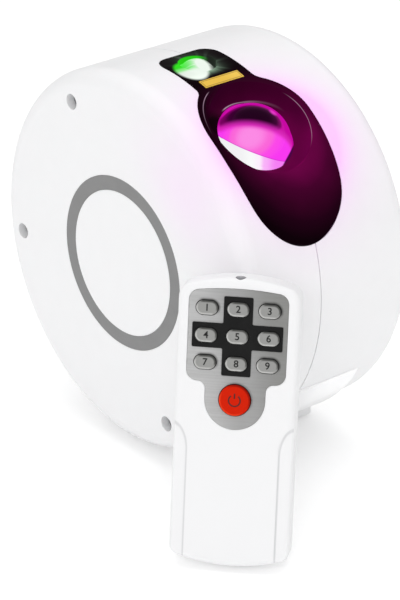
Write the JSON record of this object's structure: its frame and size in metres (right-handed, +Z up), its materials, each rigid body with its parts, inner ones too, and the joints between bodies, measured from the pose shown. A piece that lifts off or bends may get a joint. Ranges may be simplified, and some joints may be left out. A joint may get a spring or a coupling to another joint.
{
  "type": "planetarium projector",
  "caption": "Drum-shaped star and nebula light projector on a tilting cradle foot, with a leaning handset: curved aperture panel with a dome lens and a laser window.",
  "frame": {"origin": "on the floor, on the foot pad's underside, straight below the middle of the drum's axis", "axes": "+Z up; X along the drum's axis with the ring face toward -X; the beam leaves toward -Y (the front) and up"},
  "size_m": [0.1346, 0.2065, 0.172],
  "materials": {
    "shell_white": "satin injection moulded ABS",
    "ring_grey": "moulded, satin",
    "panel_black": "high gloss, dark tinted",
    "strip_yellow": "printed film",
    "lens_acrylic": "polished",
    "window_acrylic": "polished",
    "screw_steel": "zinc plated",
    "frame_black": "moulded, fine texture",
    "heatsink_aluminium": "extruded",
    "board_green": "solder resist",
    "board_white": "solder resist on aluminium",
    "led_ceramic": "phosphor filled",
    "wheel_acrylic": "moulded ripples",
    "pinion_brass": "turned",
    "motor_steel": "drawn can",
    "laser_brass": "turned",
    "part_black": "moulded",
    "switch_grey": "moulded",
    "button_white": "satin",
    "pad_rubber": "soft",
    "remote_white": "satin injection moulded ABS",
    "plate_grey": "silver grey paint",
    "cross_black": "screen printed film",
    "key_grey": "silicone",
    "key_red": "silicone",
    "mat_rubber": "silicone",
    "emitter_dark": "moulded",
    "cell_jacket": "printed jacket",
    "contact_nickel": "nickel plated"
  },
  "bodies": {
    "tilt_foot": {"foot_cradle": "shell_white", "foot_pad": "pad_rubber", "clamp_washer": "frame_black", "clamp_screw": "screw_steel"},
    "drum": {"ring_shell": "shell_white", "rear_shell": "shell_white", "face_ring": "ring_grey", "shell_screws": "screw_steel", "aperture_panel": "panel_black", "aperture_strip": "strip_yellow", "dome_lens": "lens_acrylic", "laser_window": "window_acrylic", "optics_frame": "frame_black", "frame_screws": "screw_steel", "lamp_heatsink": "heatsink_aluminium", "led_board": "board_white", "led_chips": "led_ceramic", "condenser_lens": "lens_acrylic", "nebula_motor": "motor_steel", "laser_module": "laser_brass", "star_motor": "motor_steel", "control_board": "board_green", "tact_switches": "switch_grey", "dc_jack": "part_black", "driver_board": "board_green", "driver_screws": "screw_steel", "driver_parts": "part_black", "receiver_board": "board_green", "ir_receiver": "part_black"},
    "nebula_wheel": {"nebula_wheel": "wheel_acrylic"},
    "nebula_pinion": {"nebula_pinion": "pinion_brass"},
    "star_wheel": {"star_wheel": "wheel_acrylic"},
    "star_pinion": {"star_pinion": "pinion_brass"},
    "remote": {"remote_front_shell": "remote_white", "remote_back_shell": "remote_white", "shield_plate": "plate_grey", "cross_plate": "cross_black", "keypad_mat": "mat_rubber", "remote_board": "board_green", "ir_emitter": "emitter_dark", "battery_cells": "cell_jacket", "battery_contacts": "contact_nickel"},
    "battery_door": {"battery_door": "remote_white"},
    "power_key": {"power_key": "key_red"},
    "control_button_1": {"control_button_1": "button_white"},
    "control_button_2": {"control_button_2": "button_white"},
    "control_button_3": {"control_button_3": "button_white"},
    "key_1": {"key_1": "key_grey"},
    "key_2": {"key_2": "key_grey"},
    "key_3": {"key_3": "key_grey"},
    "key_4": {"key_4": "key_grey"},
    "key_5": {"key_5": "key_grey"},
    "key_6": {"key_6": "key_grey"},
    "key_7": {"key_7": "key_grey"},
    "key_8": {"key_8": "key_grey"},
    "key_9": {"key_9": "key_grey"}
  },
  "joints": [
    {"name": "drum_tilt", "type": "hinge", "parent": "tilt_foot", "child": "drum", "pos_m": [0, 0, 0.088], "axis": [1, 0, 0], "range_deg": [-25, 25]},
    {"name": "nebula_spin", "type": "hinge", "parent": "drum", "child": "nebula_wheel", "pos_m": [0.00535, -0.03523, 0.14023], "axis": [0, -0.5592, 0.829], "continuous": true},
    {"name": "nebula_drive", "type": "hinge", "parent": "drum", "child": "nebula_pinion", "pos_m": [0.03265, -0.03523, 0.14023], "axis": [0, -0.5592, 0.829], "continuous": true},
    {"name": "star_spin", "type": "hinge", "parent": "drum", "child": "star_wheel", "pos_m": [-0.00205, -0.00565, 0.15978], "axis": [0, -0.0785, 0.9969], "continuous": true},
    {"name": "star_drive", "type": "hinge", "parent": "drum", "child": "star_pinion", "pos_m": [0.01405, -0.00565, 0.15978], "axis": [0, -0.0785, 0.9969], "continuous": true},
    {"name": "control_button_1_press", "type": "slide", "parent": "drum", "child": "control_button_1", "axis": [0, -0.8894, -0.4571], "range_m": [0, 0.0008], "stiffness_N_per_m": 1800},
    {"name": "control_button_2_press", "type": "slide", "parent": "drum", "child": "control_button_2", "axis": [0, -0.8894, -0.4571], "range_m": [0, 0.0008], "stiffness_N_per_m": 1800},
    {"name": "control_button_3_press", "type": "slide", "parent": "drum", "child": "control_button_3", "axis": [0, -0.8894, -0.4571], "range_m": [0, 0.0008], "stiffness_N_per_m": 1800},
    {"name": "remote_away", "type": "slide", "parent": "tilt_foot", "child": "remote", "axis": [-0.7226, -0.6406, 0.2597], "range_m": [0, 0.15]},
    {"name": "battery_door_swing", "type": "hinge", "parent": "remote", "child": "battery_door", "pos_m": [-0.0544, -0.08779, 0.0554], "axis": [0.6634, -0.7483, 0], "range_deg": [0, 55]},
    {"name": "key_1_press", "type": "slide", "parent": "remote", "child": "key_1", "axis": [0.7226, 0.6406, -0.2597], "range_m": [0, 0.0006], "stiffness_N_per_m": 1200},
    {"name": "key_2_press", "type": "slide", "parent": "remote", "child": "key_2", "axis": [0.7226, 0.6406, -0.2597], "range_m": [0, 0.0006], "stiffness_N_per_m": 1200},
    {"name": "key_3_press", "type": "slide", "parent": "remote", "child": "key_3", "axis": [0.7226, 0.6406, -0.2597], "range_m": [0, 0.0006], "stiffness_N_per_m": 1200},
    {"name": "key_4_press", "type": "slide", "parent": "remote", "child": "key_4", "axis": [0.7226, 0.6406, -0.2597], "range_m": [0, 0.0006], "stiffness_N_per_m": 1200},
    {"name": "key_5_press", "type": "slide", "parent": "remote", "child": "key_5", "axis": [0.7226, 0.6406, -0.2597], "range_m": [0, 0.0006], "stiffness_N_per_m": 1200},
    {"name": "key_6_press", "type": "slide", "parent": "remote", "child": "key_6", "axis": [0.7226, 0.6406, -0.2597], "range_m": [0, 0.0006], "stiffness_N_per_m": 1200},
    {"name": "key_7_press", "type": "slide", "parent": "remote", "child": "key_7", "axis": [0.7226, 0.6406, -0.2597], "range_m": [0, 0.0006], "stiffness_N_per_m": 1200},
    {"name": "key_8_press", "type": "slide", "parent": "remote", "child": "key_8", "axis": [0.7226, 0.6406, -0.2597], "range_m": [0, 0.0006], "stiffness_N_per_m": 1200},
    {"name": "key_9_press", "type": "slide", "parent": "remote", "child": "key_9", "axis": [0.7226, 0.6406, -0.2597], "range_m": [0, 0.0006], "stiffness_N_per_m": 1200},
    {"name": "power_key_press", "type": "slide", "parent": "remote", "child": "power_key", "axis": [0.7226, 0.6406, -0.2597], "range_m": [0, 0.0006], "stiffness_N_per_m": 1200}
  ],
  "couplings": [
    {"joint": "nebula_drive", "follows": "nebula_spin", "ratio": -4.6667},
    {"joint": "star_drive", "follows": "star_spin", "ratio": -2.3333}
  ]
}
